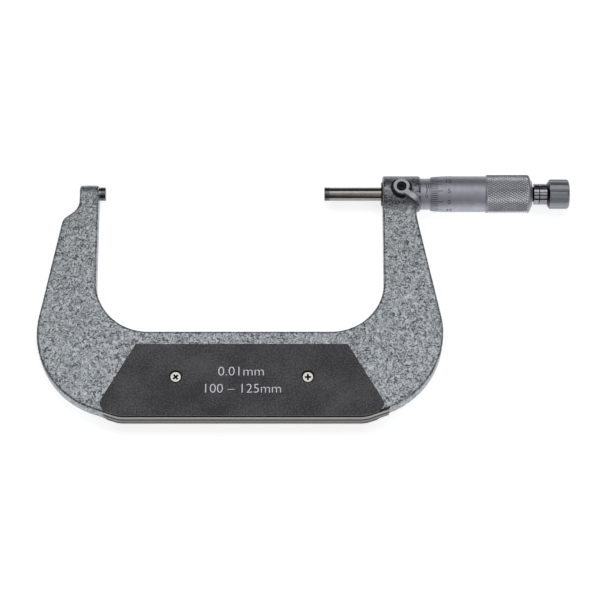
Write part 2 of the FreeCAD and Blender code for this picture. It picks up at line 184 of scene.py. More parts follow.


# painted shade makes the boss darker than the arms, and painted black shade fills the spot face under the
# lever
def shadeBoss(tree, colour, look):
    axes = placeAxes(tree)
    onBoss = rise(tree, axes["Y"], look["bossFoot"] - 0.4, look["bossFoot"] + 0.4)
    onRight = rise(tree, axes["X"], look["bossSide"], look["bossSide"] + 1)
    darkened = calc(tree, "MULTIPLY", calc(tree, "MULTIPLY", onBoss, onRight), 1 - look["bossShade"])
    # painted shade darkens the boss
    toned = mixColour(tree, darkened, colour, look["bossTint"])
    low, high = boxOf("lock_screw")
    screw = (low + high) / 2
    acrossX = calc(tree, "SUBTRACT", axes["X"], screw.x * mm)
    acrossY = calc(tree, "SUBTRACT", axes["Y"], screw.y * mm)
    away = distanceFrom(tree, acrossX, acrossY)
    reach = look["spotFaceReach"]
    nearLever = calc(tree, "SUBTRACT", 1.0, rise(tree, away, reach - 0.1, reach))
    # painted black shade in the spot face round the lever's screw
    onSpotFace = calc(tree, "MULTIPLY", nearLever, rise(tree, axes["Z"], 0.0, 0.5))
    return mixColour(tree, onSpotFace, toned, look["spotFace"])


def hammerPaint(look):
    material, tree, shader = newFinish("hammerPaint")
    coarse = addNoise(tree, look["grain"], detail=1.0, distortion=1.6)
    fine = addNoise(tree, look["fineGrain"], detail=2.0)
    mixed = calc(tree, "ADD", calc(tree, "MULTIPLY", coarse, 0.7), calc(tree, "MULTIPLY", fine, 0.3))
    mottle = addRamp(tree, mixed, [
        (0.37, look["darkPit"]),
        (0.48, look["body"]),
        (0.64, look["highSpot"]),
    ])
    colour = shadeBoss(tree, mottle, look)
    rough = calc(tree, "ADD", calc(tree, "MULTIPLY", fine, 0.2), look["roughness"] - 0.1)
    tree.links.new(colour, shader.inputs["Base Color"])
    tree.links.new(rough, shader.inputs["Roughness"])
    tree.links.new(addBump(tree, mixed, look["dimple"], 0.8), shader.inputs["Normal"])
    shader.inputs["Metallic"].default_value = look["metal"]
    return material


plasticLook = {
    "colour": shade(44, 43, 46),
    "lighter": shade(102, 101, 104),
    "grain": 0.7,
    "cloud": 14.0,
    "dimple": 0.06,
    "roughness": 0.5,
    # painted light on the front rim, and less of it on the back rim
    "rim": shade(168, 166, 161),
    "backRim": shade(122, 121, 118),
    # painted black shade in the seam and in the groove between face and rim
    "groove": shade(10, 10, 11),
    # painted black shade in the screw wells
    "well": shade(12, 12, 13),
    "seamTop": 0.85,  # heights from the middle plane of the frame
    "rimTop": 3.75,
    "grooveTop": 5.25,
    "wellReach": 3.0,
}


def platePlastic(look):
    material, tree, shader = newFinish("platePlastic")
    speckle = addNoise(tree, look["grain"], detail=3.0)
    cloud = addNoise(tree, look["cloud"], detail=2.0)
    blend = calc(tree, "ADD", calc(tree, "MULTIPLY", speckle, 0.7), calc(tree, "MULTIPLY", cloud, 0.3))
    grained = addRamp(tree, blend, [(0.42, look["colour"]), (0.6, look["lighter"])])
    tree.links.new(shadePlate(tree, grained, look), shader.inputs["Base Color"])
    rough = calc(tree, "ADD", calc(tree, "MULTIPLY", speckle, 0.2), look["roughness"] - 0.1)
    tree.links.new(rough, shader.inputs["Roughness"])
    tree.links.new(addBump(tree, speckle, look["dimple"], 0.8), shader.inputs["Normal"])
    return material


# painted light makes the rim lighter than the face and the back rim darker than the front one, and the
# seam, the groove between them and the screw wells get painted black shade
def shadePlate(tree, colour, look):
    axes = placeAxes(tree)
    height = calc(tree, "ABSOLUTE", axes["Z"])
    aboveRim = rise(tree, height, look["rimTop"] - 0.1, look["rimTop"])
    aboveGroove = rise(tree, height, look["grooveTop"] - 0.1, look["grooveTop"])
    aboveSeam = rise(tree, height, look["seamTop"] - 0.05, look["seamTop"] + 0.05)
    # painted light on the front rim, painted shade on the back rim
    rims = mixColour(tree, rise(tree, axes["Z"], -0.1, 0.1), look["backRim"], look["rim"])
    onRim = calc(tree, "SUBTRACT", aboveSeam, aboveRim)
    # painted black shade in the seam and the groove
    side = mixColour(tree, onRim, look["groove"], rims)
    toned = mixColour(tree, aboveGroove, side, colour)
    low, high = boxOf("front_plate_screws")
    middle = (low + high) / 2
    screwReach = (high.x - low.x) / 2 - (high.y - low.y) / 2
    sideways = calc(tree, "ABSOLUTE", calc(tree, "SUBTRACT", axes["X"], middle.x * mm))
    acrossX = calc(tree, "SUBTRACT", sideways, screwReach * mm)
    acrossY = calc(tree, "SUBTRACT", axes["Y"], middle.y * mm)
    away = distanceFrom(tree, acrossX, acrossY)
    nearScrew = calc(tree, "SUBTRACT", 1.0, rise(tree, away, look["wellReach"], look["wellReach"] + 0.1))
    faceHeight = boxOf("front_plate")[1].z
    belowFace = calc(tree, "SUBTRACT", 1.0, rise(tree, height, faceHeight - 0.25, faceHeight - 0.1))
    # painted black shade in the wells round the screws, below the plate's face
    return mixColour(tree, calc(tree, "MULTIPLY", nearScrew, belowFace), toned, look["well"])


# a metal turned about X: fine rings from the tool, and faint patches in the shine
def turnedMetal(name, dark, light, roughness, ringDepth, spread=0.08, metal=1.0):
    material, tree, shader = newFinish(name)
    rings = addNoise(tree, 0.12, stretch=(1, 0.02, 0.02), detail=2.0)
    patches = addNoise(tree, 3.0, detail=3.0)
    blend = calc(tree, "ADD", calc(tree, "MULTIPLY", rings, 0.5), calc(tree, "MULTIPLY", patches, 0.5))
    tree.links.new(addRamp(tree, blend, [(0.35, dark), (0.65, light)]), shader.inputs["Base Color"])
    rough = calc(tree, "ADD", calc(tree, "MULTIPLY", blend, spread), roughness - spread / 2)
    tree.links.new(rough, shader.inputs["Roughness"])
    tree.links.new(addBump(tree, rings, ringDepth, 0.5), shader.inputs["Normal"])
    shader.inputs["Metallic"].default_value = metal
    return material


# a metal with no direction: fine grain only
def plainMetal(name, dark, light, roughness, grain, depth):
    material, tree, shader = newFinish(name)
    speckle = addNoise(tree, grain, detail=3.0)
    tree.links.new(addRamp(tree, speckle, [(0.35, dark), (0.65, light)]), shader.inputs["Base Color"])
    rough = calc(tree, "ADD", calc(tree, "MULTIPLY", speckle, 0.12), roughness - 0.06)
    tree.links.new(rough, shader.inputs["Roughness"])
    tree.links.new(addBump(tree, speckle, depth, 0.5), shader.inputs["Normal"])
    shader.inputs["Metallic"].default_value = 1.0
    return material


# screws with painted black shade in their cross recesses below the heads' faces, on both sides of the
# frame
def recessedNickel(headHeight, dark, light):
    material, tree, shader = newFinish("recessedNickel")
    height = calc(tree, "ABSOLUTE", placeAxes(tree)["Z"])
    bareness = rise(tree, height, headHeight - 0.3, headHeight - 0.05)
    speckle = addNoise(tree, 0.4, detail=3.0)
    bare = addRamp(tree, speckle, [(0.35, dark), (0.65, light)])
    # painted black shade in the cross recesses, below the head's face
    tree.links.new(mixColour(tree, bareness, shade(14, 14, 15), bare), shader.inputs["Base Color"])
    rough = calc(tree, "ADD", calc(tree, "MULTIPLY", speckle, 0.12), 0.24)
    tree.links.new(rough, shader.inputs["Roughness"])
    tree.links.new(addBump(tree, speckle, 0.004, 0.5), shader.inputs["Normal"])
    shader.inputs["Metallic"].default_value = 1.0
    return material


def inkFinish(name, colour, lighter, metal=0.0):
    material, tree, shader = newFinish(name)
    speckle = addNoise(tree, 0.2, detail=2.0)
    tree.links.new(addRamp(tree, speckle, [(0.3, colour), (0.7, lighter)]), shader.inputs["Base Color"])
    shader.inputs["Roughness"].default_value = 0.45
    shader.inputs["Metallic"].default_value = metal
    return material


# the polish of the ratchet's neck and of the knob's collar
def collarPolish(tree):
    patches = addNoise(tree, 1.2, detail=3.0)
    return addRamp(tree, patches, [(0.35, shade(130, 128, 136)), (0.65, shade(162, 160, 168))])


knobLook = {
    "coneStart": 205.8,  # places along X
    "gripStart": 207.0,
    # painted shade on the cone, which faces away from the light
    "cone": shade(40, 41, 45),
    "grip": shade(140, 143, 149),
    "gripLight": shade(158, 161, 167),
}


# the knob: a polished collar, a cone darkened with painted shade, and a matte grey grip
def knobFinish(look):
    material, tree, shader = newFinish("knobGrey")
    along = placeAxes(tree)["X"]
    onCone = calc(tree, "GREATER_THAN", along, look["coneStart"] * mm)
    onGrip = calc(tree, "GREATER_THAN", along, look["gripStart"] * mm)
    speckle = addNoise(tree, 0.4, detail=3.0)
    grip = addRamp(tree, speckle, [(0.35, look["grip"]), (0.65, look["gripLight"])])
    # painted shade on the cone
    front = mixColour(tree, onCone, collarPolish(tree), look["cone"])
    tree.links.new(mixColour(tree, onGrip, front, grip), shader.inputs["Base Color"])
    rough = calc(tree, "ADD", calc(tree, "MULTIPLY", onGrip, 0.36), 0.1)
    tree.links.new(rough, shader.inputs["Roughness"])
    tree.links.new(addBump(tree, speckle, 0.02, 0.4), shader.inputs["Normal"])
    shader.inputs["Metallic"].default_value = 0.9
    return material


neckLook = {
    "grooves": [(198.0, 199.75), (202.1, 202.5)],  # where each one starts and ends along X
    # painted black shade in the neck's grooves
    "groove": shade(8, 8, 9),
}


# the ratchet's neck: polished, with painted black shade in its two grooves
def neckFinish(look):
    material, tree, shader = newFinish("neckPolish")
    along = placeAxes(tree)["X"]
    polish = collarPolish(tree)
    for low, high in look["grooves"]:
        pastStart = rise(tree, along, low - 0.05, low)
        beforeEnd = rise(tree, along, high + 0.05, high)
        # painted black shade in this groove
        polish = mixColour(tree, calc(tree, "MULTIPLY", pastStart, beforeEnd), polish, look["groove"])
    tree.links.new(polish, shader.inputs["Base Color"])
    rough = calc(tree, "ADD", calc(tree, "MULTIPLY", addNoise(tree, 3.0, detail=2.0), 0.1), 0.05)
    tree.links.new(rough, shader.inputs["Roughness"])
    shader.inputs["Metallic"].default_value = 1.0
    return material


# the knurl: painted light and shade, bright on the tips of its diamonds and painted dark in the cuts
# between them
def knurlFinish(tipRadius, depth):
    material, tree, shader = newFinish("knurlChrome")
    axes = placeAxes(tree)
    radius = distanceFrom(tree, axes["Y"], axes["Z"])
    patches = addNoise(tree, 3.0, detail=3.0)
    bright = addRamp(tree, patches, [(0.35, shade(228, 228, 236)), (0.65, shade(244, 244, 250))])
    onTip = rise(tree, radius, tipRadius - depth, tipRadius - depth * 0.6)
    # painted shade in the cuts, rising to the bright tip colour
    tree.links.new(mixColour(tree, onTip, shade(84, 85, 90), bright), shader.inputs["Base Color"])
    rough = calc(tree, "ADD", calc(tree, "MULTIPLY", patches, 0.1), 0.3)
    tree.links.new(rough, shader.inputs["Roughness"])
    shader.inputs["Metallic"].default_value = 0.85
    return material


satinChrome = turnedMetal("satinChrome", shade(172, 174, 183), shade(190, 192, 201),
                          0.53, 0.004, metal=0.9)
groundSteel = turnedMetal("groundSteel", shade(140, 137, 133), shade(156, 152, 148), 0.12, 0.003)
neckPolish = neckFinish(neckLook)
carbide = turnedMetal("carbide", shade(98, 97, 100), shade(112, 111, 114), 0.22, 0.002)
darkSteel = plainMetal("darkSteel", shade(34, 34, 37), shade(46, 46, 49), 0.38, 0.3, 0.004)
nickel = plainMetal("nickel", shade(178, 175, 170), shade(196, 193, 188), 0.26, 0.4, 0.004)
# black oxide on the lock screw; on the spindle bush the same black is painted shade on its end face
blackOxide = plainMetal("blackOxide", shade(20, 20, 22), shade(38, 38, 40), 0.26, 0.3, 0.006)
screwNickel = recessedNickel(boxOf("front_plate_screws")[1].z,
                             shade(178, 175, 170), shade(196, 193, 188))
springWire = plainMetal("springWire", shade(140, 140, 143), shade(160, 160, 163), 0.3, 0.3, 0.003)
leverChrome = plainMetal("leverChrome", shade(150, 152, 158), shade(172, 174, 180), 0.38, 0.5, 0.004)
scaleInk = inkFinish("scaleInk", shade(26, 26, 31), shade(38, 38, 44))
plateInk = inkFinish("plateInk", shade(206, 204, 212), shade(224, 222, 230), 0.8)

nodeFinishes = {
    "frame": hammerPaint(hammerLook),
    "front_plate": platePlastic(plasticLook),
    "anvil": groundSteel,
    "anvil_tip": carbide,
    # painted shade: the bush's end face is black
    "spindle_bush": blackOxide,
    "inner_sleeve": groundSteel,
    "sleeve": satinChrome,
    "adjusting_nut": groundSteel,
    "spindle": groundSteel,
    "spindle_tip": carbide,
    "ratchet_body": neckPolish,
    "ratchet_wheel": darkSteel,
    "click_disc": darkSteel,
    "ratchet_knob": knobFinish(knobLook),
    "ratchet_screw": nickel,
    "lock_lever": leverChrome,
    "lock_screw": blackOxide,
    "lock_plunger": groundSteel,
    "front_plate_screws": screwNickel,
    "back_plate_screws": screwNickel,
}
nodeFinishes["back_plate"] = nodeFinishes["front_plate"]

for node, finish in nodeFinishes.items():
    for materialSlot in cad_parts[node].material_slots:
        materialSlot.material = finish
print("finishes on", len(nodeFinishes), "CAD nodes")


# Geometry node helpers.

# a tree with a mesh in, a mesh out and one named input for each size
def newTree(name, sizes):
    tree = bpy.data.node_groups.new(name, "GeometryNodeTree")
    tree.interface.new_socket("Geometry", in_out="INPUT", socket_type="NodeSocketGeometry")
    for label, value in sizes.items():
        kind = "NodeSocketInt" if isinstance(value, int) else "NodeSocketFloat"
        tree.interface.new_socket(label, in_out="INPUT", socket_type=kind)
    tree.interface.new_socket("Geometry", in_out="OUTPUT", socket_type="NodeSocketGeometry")
    return tree, tree.nodes.new("NodeGroupInput").outputs


# realises, wraps and finishes the geometry, and wires it out of the tree
def endTree(tree, geometry, material):
    realised = addNode(tree, "GeometryNodeRealizeInstances", {0: geometry}).outputs[0]
    given = tree.nodes["Group Input"].outputs
    if "Front Radius" in given:
        realised = wrapRound(tree, realised, given)
    finished = addNode(tree, "GeometryNodeSetMaterial", {"Geometry": realised, "Material": material})
    tree.links.new(finished.outputs[0], tree.nodes.new("NodeGroupOutput").inputs[0])


# wraps a flat layout (x, angle, height) round the X axis, on a cylinder or a cone
def wrapRound(tree, geometry, given):
    place = addNode(tree, "GeometryNodeInputPosition").outputs[0]
    split = addNode(tree, "ShaderNodeSeparateXYZ", {0: place}).outputs
    ground = addNode(tree, "ShaderNodeMapRange", {
        "Value": split["X"],
        "From Min": given["Front X"],
        "From Max": given["Back X"],
        "To Min": given["Front Radius"],
        "To Max": given["Back Radius"],
    }).outputs["Result"]
    radius = calc(tree, "ADD", ground, split["Z"])
    wrapped = addNode(tree, "ShaderNodeCombineXYZ", {
        "X": split["X"],
        "Y": calc(tree, "MULTIPLY", radius, calc(tree, "SINE", split["Y"])),
        "Z": calc(tree, "MULTIPLY", radius, calc(tree, "COSINE", split["Y"])),
    })
    bent = addNode(tree, "GeometryNodeSetPosition", {"Geometry": geometry, "Position": wrapped.outputs[0]})
    return bent.outputs[0]


# runs a tree on a piece with its sizes set, and keeps the result as the piece's plain mesh
def bakeTree(piece, tree, sizes):
    modifier = piece.modifiers.new(tree.name, "NODES")
    modifier.node_group = tree
    for item in tree.interface.items_tree:
        if item.in_out == "INPUT" and item.name in sizes:
            modifier[item.identifier] = sizes[item.name]
    graph = bpy.context.evaluated_depsgraph_get()
    finished = bpy.data.meshes.new_from_object(piece.evaluated_get(graph))
    piece.modifiers.clear()
    piece.data = finished
    return piece


def newPiece(name, mesh=None):
    piece = bpy.data.objects.new(name, mesh or bpy.data.meshes.new(name))
    bpy.context.scene.collection.objects.link(piece)
    return piece


# Lettering.

# flat closed lettering, scaled to its height and centred on the origin, in millimetres
def letteringMesh(words, height, depth, width=None, thinning=0.0):
    curve = bpy.data.curves.new("lettering", "FONT")
    curve.body = words
    curve.size = 1.0
    curve.extrude = 0.5
    curve.resolution_u = 4
    curve.offset = thinning
    holder = bpy.data.objects.new("lettering", curve)
    bpy.context.scene.collection.objects.link(holder)
    graph = bpy.context.evaluated_depsgraph_get()
    mesh = bpy.data.meshes.new_from_object(holder.evaluated_get(graph))
    bpy.data.objects.remove(holder)
    corners = [v.co for v in mesh.vertices]
    low = Vector((min(c.x for c in corners), min(c.y for c in corners), 0))
    high = Vector((max(c.x for c in corners), max(c.y for c in corners), 0))
    scaleY = height / (high.y - low.y)
    scaleX = width / (high.x - low.x) if width else scaleY
    middle = (low + high) / 2
    mesh.transform(Matrix.Diagonal((scaleX, scaleY, depth, 1)) @ Matrix.Translation(-middle))
    return mesh


# joins flat meshes into one, each moved to its own place; rows cut them so that they can bend
def joinLettering(name, placed, rows=0.0):
    joined = bmesh.new()
    for mesh, place in placed:
        mesh.transform(Matrix.Translation(place))
        joined.from_mesh(mesh)
        bpy.data.meshes.remove(mesh)
    bmesh.ops.remove_doubles(joined, verts=joined.verts, dist=1e-6)
    if rows:
        lowest = min(v.co.y for v in joined.verts)
        highest = max(v.co.y for v in joined.verts)
        for step in range(1, int((highest - lowest) / rows) + 1):
            geometry = joined.verts[:] + joined.edges[:] + joined.faces[:]
            bmesh.ops.bisect_plane(joined, geom=geometry, plane_co=(0, lowest + step * rows, 0),
                                   plane_no=(0, 1, 0), dist=1e-7)
    bmesh.ops.recalc_face_normals(joined, faces=joined.faces)
    mesh = bpy.data.meshes.new(name)
    joined.to_mesh(mesh)
    joined.free()
    return mesh


# Thimble.

thimbleLow, thimbleHigh = boxOf("thimble")
edgeX = thimbleLow.x
thimbleSizes = {
    "edgeRadius": 7.9,
    "bevelEnd": edgeX + 5.73,
    "radius": 8.4,
    "bore": 7.5,
    "grooveStart": edgeX + 25.2,
    "grooveDepth": 0.15,
    "knurlStart": edgeX + 25.9,
    "knurlEnd": thimbleHigh.x - 1.5,
    "knurlTip": thimbleHigh.z,
    "knurlAround": 48,
    "knurlColumns": 10,
    "diamondHeight": 0.36,
    "rearRadius": 6.2,
    "recess": 4.97,
    "seatRadius": 3.0,
    "wallStart": thimbleHigh.x - 6.3,
    "wallEnd": thimbleHigh.x - 1.7,
}


# a closed body turned about X, from (x, radius) points in millimetres
def turnedMesh(name, outline, steps=160):
    turned = bmesh.new()
    loop = [turned.verts.new((x * mm, 0, radius * mm)) for x, radius in outline]
    edges = [turned.edges.new((a, b)) for a, b in zip(loop, loop[1:] + loop[:1])]
    bmesh.ops.spin(turned, geom=loop + edges, cent=(0, 0, 0), axis=(1, 0, 0),
                   angle=2 * math.pi, steps=steps)
    bmesh.ops.remove_doubles(turned, verts=turned.verts, dist=1e-7)
    bmesh.ops.recalc_face_normals(turned, faces=turned.faces)
    mesh = bpy.data.meshes.new(name)
    turned.to_mesh(mesh)
    turned.free()
    mesh.shade_smooth()
    mesh.set_sharp_from_angle(angle=math.radians(25))
    return mesh


def thimbleShell(size):
    root = size["knurlTip"] - size["diamondHeight"]
    outline = [
        (edgeX, size["bore"]),
        (edgeX, size["edgeRadius"]),
        (size["bevelEnd"], size["radius"]),
        (size["grooveStart"], size["radius"]),
        (size["grooveStart"] + 0.05, size["radius"] - size["grooveDepth"]),
        (size["grooveStart"] + 0.25, size["radius"] - size["grooveDepth"]),
        (size["knurlStart"] - 0.1, root),
        (size["knurlEnd"] - 0.1, root),
        (size["knurlEnd"] + 0.2, root - 0.15),
        (thimbleHigh.x - 0.4, size["rearRadius"] + 0.3),
        (thimbleHigh.x, size["rearRadius"] - 0.2),
        (thimbleHigh.x, size["recess"]),
        (size["wallEnd"], size["recess"]),
        (size["wallEnd"], size["seatRadius"]),
        (size["wallStart"], size["seatRadius"]),
        (size["wallStart"], size["bore"]),
    ]
    shell = newPiece("thimbleShell", turnedMesh("thimbleShell", outline))
    shell.data.materials.append(satinChrome)
    return shell


# two staggered grids of low four-sided pyramids, wrapped round the grip
def diamondTree(sizes, material):
    tree, given = newTree("diamondKnurl", sizes)
    diamond = addNode(tree, "GeometryNodeMeshCone", {
        "Vertices": 4,
        "Radius Top": 0.12,
        "Radius Bottom": 1.0,
        "Depth": 1.0,
    }).outputs["Mesh"]
    scale = addNode(tree, "ShaderNodeCombineXYZ", {
        "X": calc(tree, "MULTIPLY", given["Pitch X"], 0.5),
        "Y": calc(tree, "MULTIPLY", given["Pitch Angle"], 0.5),
        "Z": given["Height"],
    }).outputs[0]
    rows = []
    for shift in (0.0, 0.5):
        columns = calc(tree, "SUBTRACT", given["Columns"], 2 * shift)
        gapsAlong = calc(tree, "SUBTRACT", columns, 1.0)
        gapsAround = calc(tree, "SUBTRACT", given["Around"], 1.0)
        line = addNode(tree, "GeometryNodeMeshGrid", {
            "Size X": calc(tree, "MULTIPLY", given["Pitch X"], gapsAlong),
            "Size Y": calc(tree, "MULTIPLY", given["Pitch Angle"], gapsAround),
            "Vertices X": columns,
            "Vertices Y": given["Around"],
        }).outputs["Mesh"]
        move = addNode(tree, "ShaderNodeCombineXYZ", {
            "X": calc(tree, "MULTIPLY", calc(tree, "ADD", given["Start X"], given["End X"]), 0.5),
            "Y": calc(tree, "MULTIPLY", given["Pitch Angle"], shift),
        }).outputs[0]
        placed = addNode(tree, "GeometryNodeSetPosition", {"Geometry": line, "Offset": move}).outputs[0]
        rows.append(addNode(tree, "GeometryNodeInstanceOnPoints", {
            "Points": placed,
            "Instance": diamond,
            "Scale": scale,
        }).outputs[0])
    joined = addNode(tree, "GeometryNodeJoinGeometry")
    for row in rows:
        tree.links.new(row, joined.inputs[0])
    endTree(tree, joined.outputs[0], material)
    return tree


def knurlSizes(size):
    root = (size["knurlTip"] - size["diamondHeight"]) * mm
    span = (size["knurlEnd"] - size["knurlStart"]) * mm
    return {
        "Pitch X": span / size["knurlColumns"],
        "Pitch Angle": 2 * math.pi / size["knurlAround"],
        "Columns": size["knurlColumns"],
        "Around": size["knurlAround"],
        "Height": size["diamondHeight"] * mm,
        "Start X": size["knurlStart"] * mm,
        "End X": size["knurlEnd"] * mm,
        "Front X": size["knurlStart"] * mm,
        "Back X": size["knurlEnd"] * mm,
        "Front Radius": root,
        "Back Radius": root,
    }


knurl = knurlSizes(thimbleSizes)
shell = thimbleShell(thimbleSizes)
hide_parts("thimble")
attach(shell, "thimble")
knurlChrome = knurlFinish(thimbleSizes["knurlTip"], thimbleSizes["diamondHeight"])
grip = bakeTree(newPiece("gripDiamonds"), diamondTree(knurl, knurlChrome), knurl)
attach(grip, "thimble")
print("thimble with", len(grip.data.polygons), "knurl faces")


# Ratchet spring, wound to the length of the CAD spring; the real one shortens as the click disc hops back
# over the teeth.

springLow, springHigh = boxOf("ratchet_spring")
springCoil = {
    "wire": 0.24,  # half the wire's thickness
    "turns": 5.0,
    "hop": 0.5,  # how far the click disc moves
}


# a round wire wound round the X axis
def springTree(sizes, material):
    tree, given = newTree("springCoil", sizes)
    path = addNode(tree, "GeometryNodeCurveSpiral", {
        "Resolution": 28,
        "Rotations": given["Turns"],
        "Start Radius": given["Mean Radius"],
        "End Radius": given["Mean Radius"],
        "Height": given["Length"],
    }).outputs["Curve"]
    section = addNode(tree, "GeometryNodeCurvePrimitiveCircle", {
        "Resolution": 10,
        "Radius": given["Wire Radius"],
    })
    wire = addNode(tree, "GeometryNodeCurveToMesh", {
        "Curve": path,
        "Profile Curve": section.outputs["Curve"],
        "Fill Caps": True,
    }).outputs["Mesh"]
    start = addNode(tree, "ShaderNodeCombineXYZ", {"X": given["Start X"]}).outputs[0]
    turned = addNode(tree, "GeometryNodeTransform", {
        "Geometry": wire,
        "Translation": start,
        "Rotation": (0, math.pi / 2, 0),
    }).outputs[0]
    endTree(tree, turned, material)
    return tree


def ratchetSpring(size):
    sizes = {
        "Turns": size["turns"],
        "Mean Radius": (springHigh.z - size["wire"]) * mm,
        "Wire Radius": size["wire"] * mm,
        "Length": (springHigh.x - springLow.x - 2 * size["wire"]) * mm,
        "Start X": (springLow.x + size["wire"]) * mm,
    }
    return bakeTree(newPiece("springCoil"), springTree(sizes, springWire), sizes)


coil = ratchetSpring(springCoil)
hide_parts("ratchet_spring")
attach(coil, "ratchet")
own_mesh(coil)
print("ratchet spring done")


# Thimble scale: 50 divisions, a number at every fifth.

divisionSizes = {
    "count": 50,
    "numberEvery": 5,
    "reading": 6.8,  # division at the datum line when stored
    "shortLine": 3.3,
    "longLine": 5.4,
    "lineWidth": 0.3,
    "lineHeight": 0.05,
    "proud": 0.02,
    "digitHeight": 2.2,
    "digitCentre": edgeX + 8.4,
    "bendStep": 0.3,  # the numbers are cut this finely to follow the curve
}


# short lines side by side in the flat layout, every fifth one longer
def divisionTree(sizes, material):
    tree, given = newTree("divisionLines", sizes)
    points = addNode(tree, "GeometryNodePoints", {"Count": given["Count"]}).outputs[0]
    index = addNode(tree, "GeometryNodeInputIndex").outputs[0]
    isLong = calc(tree, "LESS_THAN", calc(tree, "MODULO", index, given["Long Every"]), 0.5)
    longer = calc(tree, "SUBTRACT", given["Long Line"], given["Short Line"])
    length = calc(tree, "ADD", given["Short Line"], calc(tree, "MULTIPLY", isLong, longer))
    turn = calc(tree, "MULTIPLY", index, given["Step Angle"])
    place = addNode(tree, "ShaderNodeCombineXYZ", {
        "X": calc(tree, "ADD", given["Front X"], calc(tree, "MULTIPLY", length, 0.5)),
        "Y": calc(tree, "SUBTRACT", turn, given["Start Angle"]),
        "Z": given["Lift"],
    }).outputs[0]
    placed = addNode(tree, "GeometryNodeSetPosition", {"Geometry": points, "Position": place}).outputs[0]
    line = addNode(tree, "GeometryNodeMeshCube", {"Vertices X": 4}).outputs["Mesh"]
    scale = addNode(tree, "ShaderNodeCombineXYZ", {
        "X": length,
        "Y": given["Line Angle"],
        "Z": given["Line Height"],
    }).outputs[0]
    lines = addNode(tree, "GeometryNodeInstanceOnPoints", {
        "Points": placed,
        "Instance": line,
        "Scale": scale,
    }).outputs[0]
    joined = addNode(tree, "GeometryNodeJoinGeometry")
    tree.links.new(lines, joined.inputs[0])
    tree.links.new(given["Geometry"], joined.inputs[0])
    endTree(tree, joined.outputs[0], material)
    return tree


def thimbleScale(size, thimble):
    step = 2 * math.pi / size["count"]
    places = []
    for number in range(0, size["count"], size["numberEvery"]):
        angle = (number - size["reading"]) * step
        digits = letteringMesh(str(number), size["digitHeight"], size["lineHeight"])
        digits.transform(Matrix.Diagonal((mm, 1 / thimble["radius"], mm, 1)))
        places.append((digits, (size["digitCentre"] * mm, angle, 0)))
    layout = joinLettering("thimbleNumbers", places, size["bendStep"] / thimble["radius"])
    layout.transform(Matrix.Translation((0, 0, (size["proud"] - size["lineHeight"] / 2) * mm)))
    sizes = {
        "Count": size["count"],
        "Long Every": size["numberEvery"],
        "Step Angle": step,
        "Start Angle": size["reading"] * step,
        "Short Line": size["shortLine"] * mm,
        "Long Line": size["longLine"] * mm,
        "Line Angle": size["lineWidth"] / thimble["radius"],
        "Line Height": size["lineHeight"] * mm,
        "Lift": (size["proud"] - size["lineHeight"] / 2) * mm,
        "Front X": (edgeX + 0.02) * mm,
        "Back X": thimble["bevelEnd"] * mm,
        "Front Radius": thimble["edgeRadius"] * mm,
        "Back Radius": thimble["radius"] * mm,
    }
    return bakeTree(newPiece("thimbleScale", layout), divisionTree(sizes, scaleInk), sizes)


divisions = thimbleScale(divisionSizes, thimbleSizes)
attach(divisions, "thimble")
print("thimble scale done")


# Sleeve scale: datum line, millimetres above it, half millimetres below it.

sleeveSizes = {
    "zero": edgeX - 2.07,  # the thimble's edge stands at the reading
    "radius": 7.3,
    "datumStart": edgeX - 2.7,
    "fullLine": 2.4,
    "fifthDrop": 2.7,
    "halfLine": 1.9,
    "lineWidth": 0.24,
    "lineHeight": 0.05,
    "proud": 0.02,
    "digitHeight": 1.7,
    "digitGap": 0.4,
    "bendStep": 0.3,
    "length": 25,
    "numberEvery": 5,
    "datumPast": 0.6,  # the datum line runs on past the last line
}


